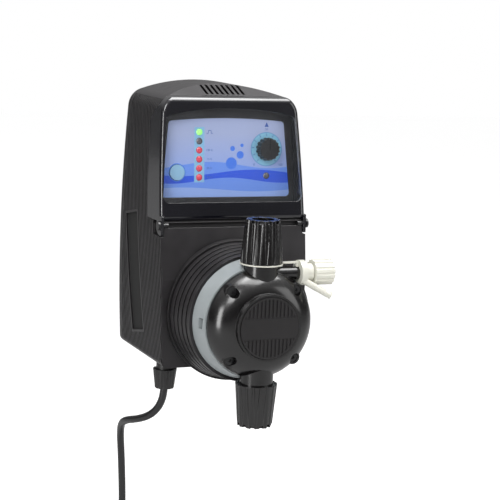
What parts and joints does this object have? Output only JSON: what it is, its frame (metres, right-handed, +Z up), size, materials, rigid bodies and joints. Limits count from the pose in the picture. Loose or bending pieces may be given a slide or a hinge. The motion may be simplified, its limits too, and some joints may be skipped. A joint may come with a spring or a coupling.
{
  "type": "diaphragm metering pump",
  "caption": "Wall-hung solenoid diaphragm metering pump with a hinged clear cover, control panel, domed pump head, ball valves and vent valve.",
  "frame": {"origin": "on the wall, in the middle of the bracket's four screw holes", "axes": "+Z up, +Y into the wall, so the pump head faces -Y; +X is to the right seen from the front"},
  "size_m": [0.1302, 0.174, 0.5005],
  "materials": {
    "case_black": "fine moulded texture, satin",
    "gloss_black": "polished moulding",
    "clear_window": "clear polycarbonate",
    "label_film": "printed film, satin",
    "panel_black": "moulded, matt",
    "lamp_green": "dyed lens",
    "lamp_dark": "unlit smoked lens",
    "lamp_red": "dyed lens",
    "knob_black": "moulded, fluted, satin",
    "button_pale": "silicone, satin",
    "ring_white": "natural moulding, satin",
    "head_black": "polished moulding",
    "head_dull": "moulded, satin",
    "vent_white": "natural fluoropolymer, waxy",
    "stainless": "plain",
    "black_steel": "black oxide, oiled",
    "zinc_steel": "zinc plated",
    "painted_steel": "powder coat",
    "magnet_steel": "machined",
    "copper_wire": "enamelled winding",
    "bobbin_nylon": "moulded",
    "bronze": "sintered, oiled",
    "ptfe": "skived fluoropolymer",
    "seal_rubber": "moulded",
    "ceramic": "polished ceramic",
    "board_green": "solder mask",
    "component_black": "moulded",
    "gland_grey": "moulded nylon",
    "cord_pvc": "extruded jacket, satin",
    "brass_pin": "nickel-free, bright"
  },
  "bodies": {
    "pump": {"main_case": "case_black", "rear_cover": "case_black", "case_screws": "stainless", "wall_bracket": "painted_steel", "control_panel": "panel_black", "control_label": "label_film", "lamp_board": "board_green", "panel_screws": "stainless", "green_lamp": "lamp_green", "dark_lamps": "lamp_dark", "red_lamps": "lamp_red", "potentiometer": "component_black", "start_switch": "component_black", "hinge_pins": "black_steel", "solenoid_housing": "case_black", "spacer_ring": "ring_white", "pump_head": "head_black", "head_disc": "head_dull", "head_screws": "black_steel", "diaphragm": "ptfe", "valve_cartridges": "ptfe", "suction_hose_connector": "head_dull", "suction_nut": "head_black", "discharge_hose_connector": "head_dull", "discharge_nut": "head_black", "head_seals": "seal_rubber", "vent_body": "vent_white", "vent_strap": "vent_white", "solenoid_yoke": "magnet_steel", "coil_bobbin": "bobbin_nylon", "coil_winding": "copper_wire", "pole_piece": "magnet_steel", "yoke_screws": "zinc_steel", "guide_bushes": "bronze", "stop_pad": "seal_rubber", "return_spring": "stainless", "main_board": "board_green", "board_parts": "component_black", "board_screws": "zinc_steel", "gland_body": "gland_grey", "gland_locknut": "gland_grey", "gland_seal": "seal_rubber", "gland_nut": "gland_grey", "power_cord": "cord_pvc", "cord_coil": "cord_pvc", "cord_tie": "seal_rubber", "mains_plug": "cord_pvc", "plug_pins": "brass_pin"},
    "cover": {"cover_frame": "gloss_black", "cover_window": "clear_window"},
    "knob": {"adjusting_knob": "knob_black", "knob_shaft": "bobbin_nylon"},
    "button": {"start_button": "button_pale"},
    "plunger": {"armature": "magnet_steel", "push_rod": "stainless"},
    "suction_valve_ball": {"suction_ball": "ceramic"},
    "discharge_valve_ball": {"discharge_ball": "ceramic"},
    "vent_handle": {"vent_knob": "vent_white"},
    "vent_spindle": {"vent_needle": "ptfe"}
  },
  "joints": [
    {"name": "cover_hinge", "type": "hinge", "parent": "pump", "child": "cover", "pos_m": [0, -0.0964, -0.0186], "axis": [1, 0, 0], "range_deg": [0, 75]},
    {"name": "knob_turn", "type": "hinge", "parent": "pump", "child": "knob", "pos_m": [0.034, -0.07632, 0.03797], "axis": [0, -0.9963, 0.0854], "range_deg": [-140, 140]},
    {"name": "start_button_press", "type": "slide", "parent": "pump", "child": "button", "axis": [0, 0.9963, -0.0854], "range_m": [0, 0.0006], "stiffness_N_per_m": 800, "springref_m": -0.0005},
    {"name": "plunger_stroke", "type": "slide", "parent": "pump", "child": "plunger", "axis": [0, -1, 0], "range_m": [0, 0.0012], "stiffness_N_per_m": 3000, "springref_m": -0.002, "deforming": ["return_spring", "diaphragm"]},
    {"name": "suction_ball_lift", "type": "slide", "parent": "pump", "child": "suction_valve_ball", "axis": [0, 0, 1], "range_m": [0, 0.0015]},
    {"name": "discharge_ball_lift", "type": "slide", "parent": "pump", "child": "discharge_valve_ball", "axis": [0, 0, 1], "range_m": [0, 0.0015]},
    {"name": "vent_knob_turn", "type": "hinge", "parent": "pump", "child": "vent_handle", "pos_m": [0.0418, -0.153, -0.0474], "axis": [1, 0, 0], "range_deg": [0, 360]},
    {"name": "vent_needle_travel", "type": "slide", "parent": "pump", "child": "vent_spindle", "axis": [1, 0, 0], "range_m": [0, 0.00082]}
  ],
  "couplings": [
    {"joint": "vent_needle_travel", "follows": "vent_knob_turn", "m_per_rad": 0.00012732}
  ]
}
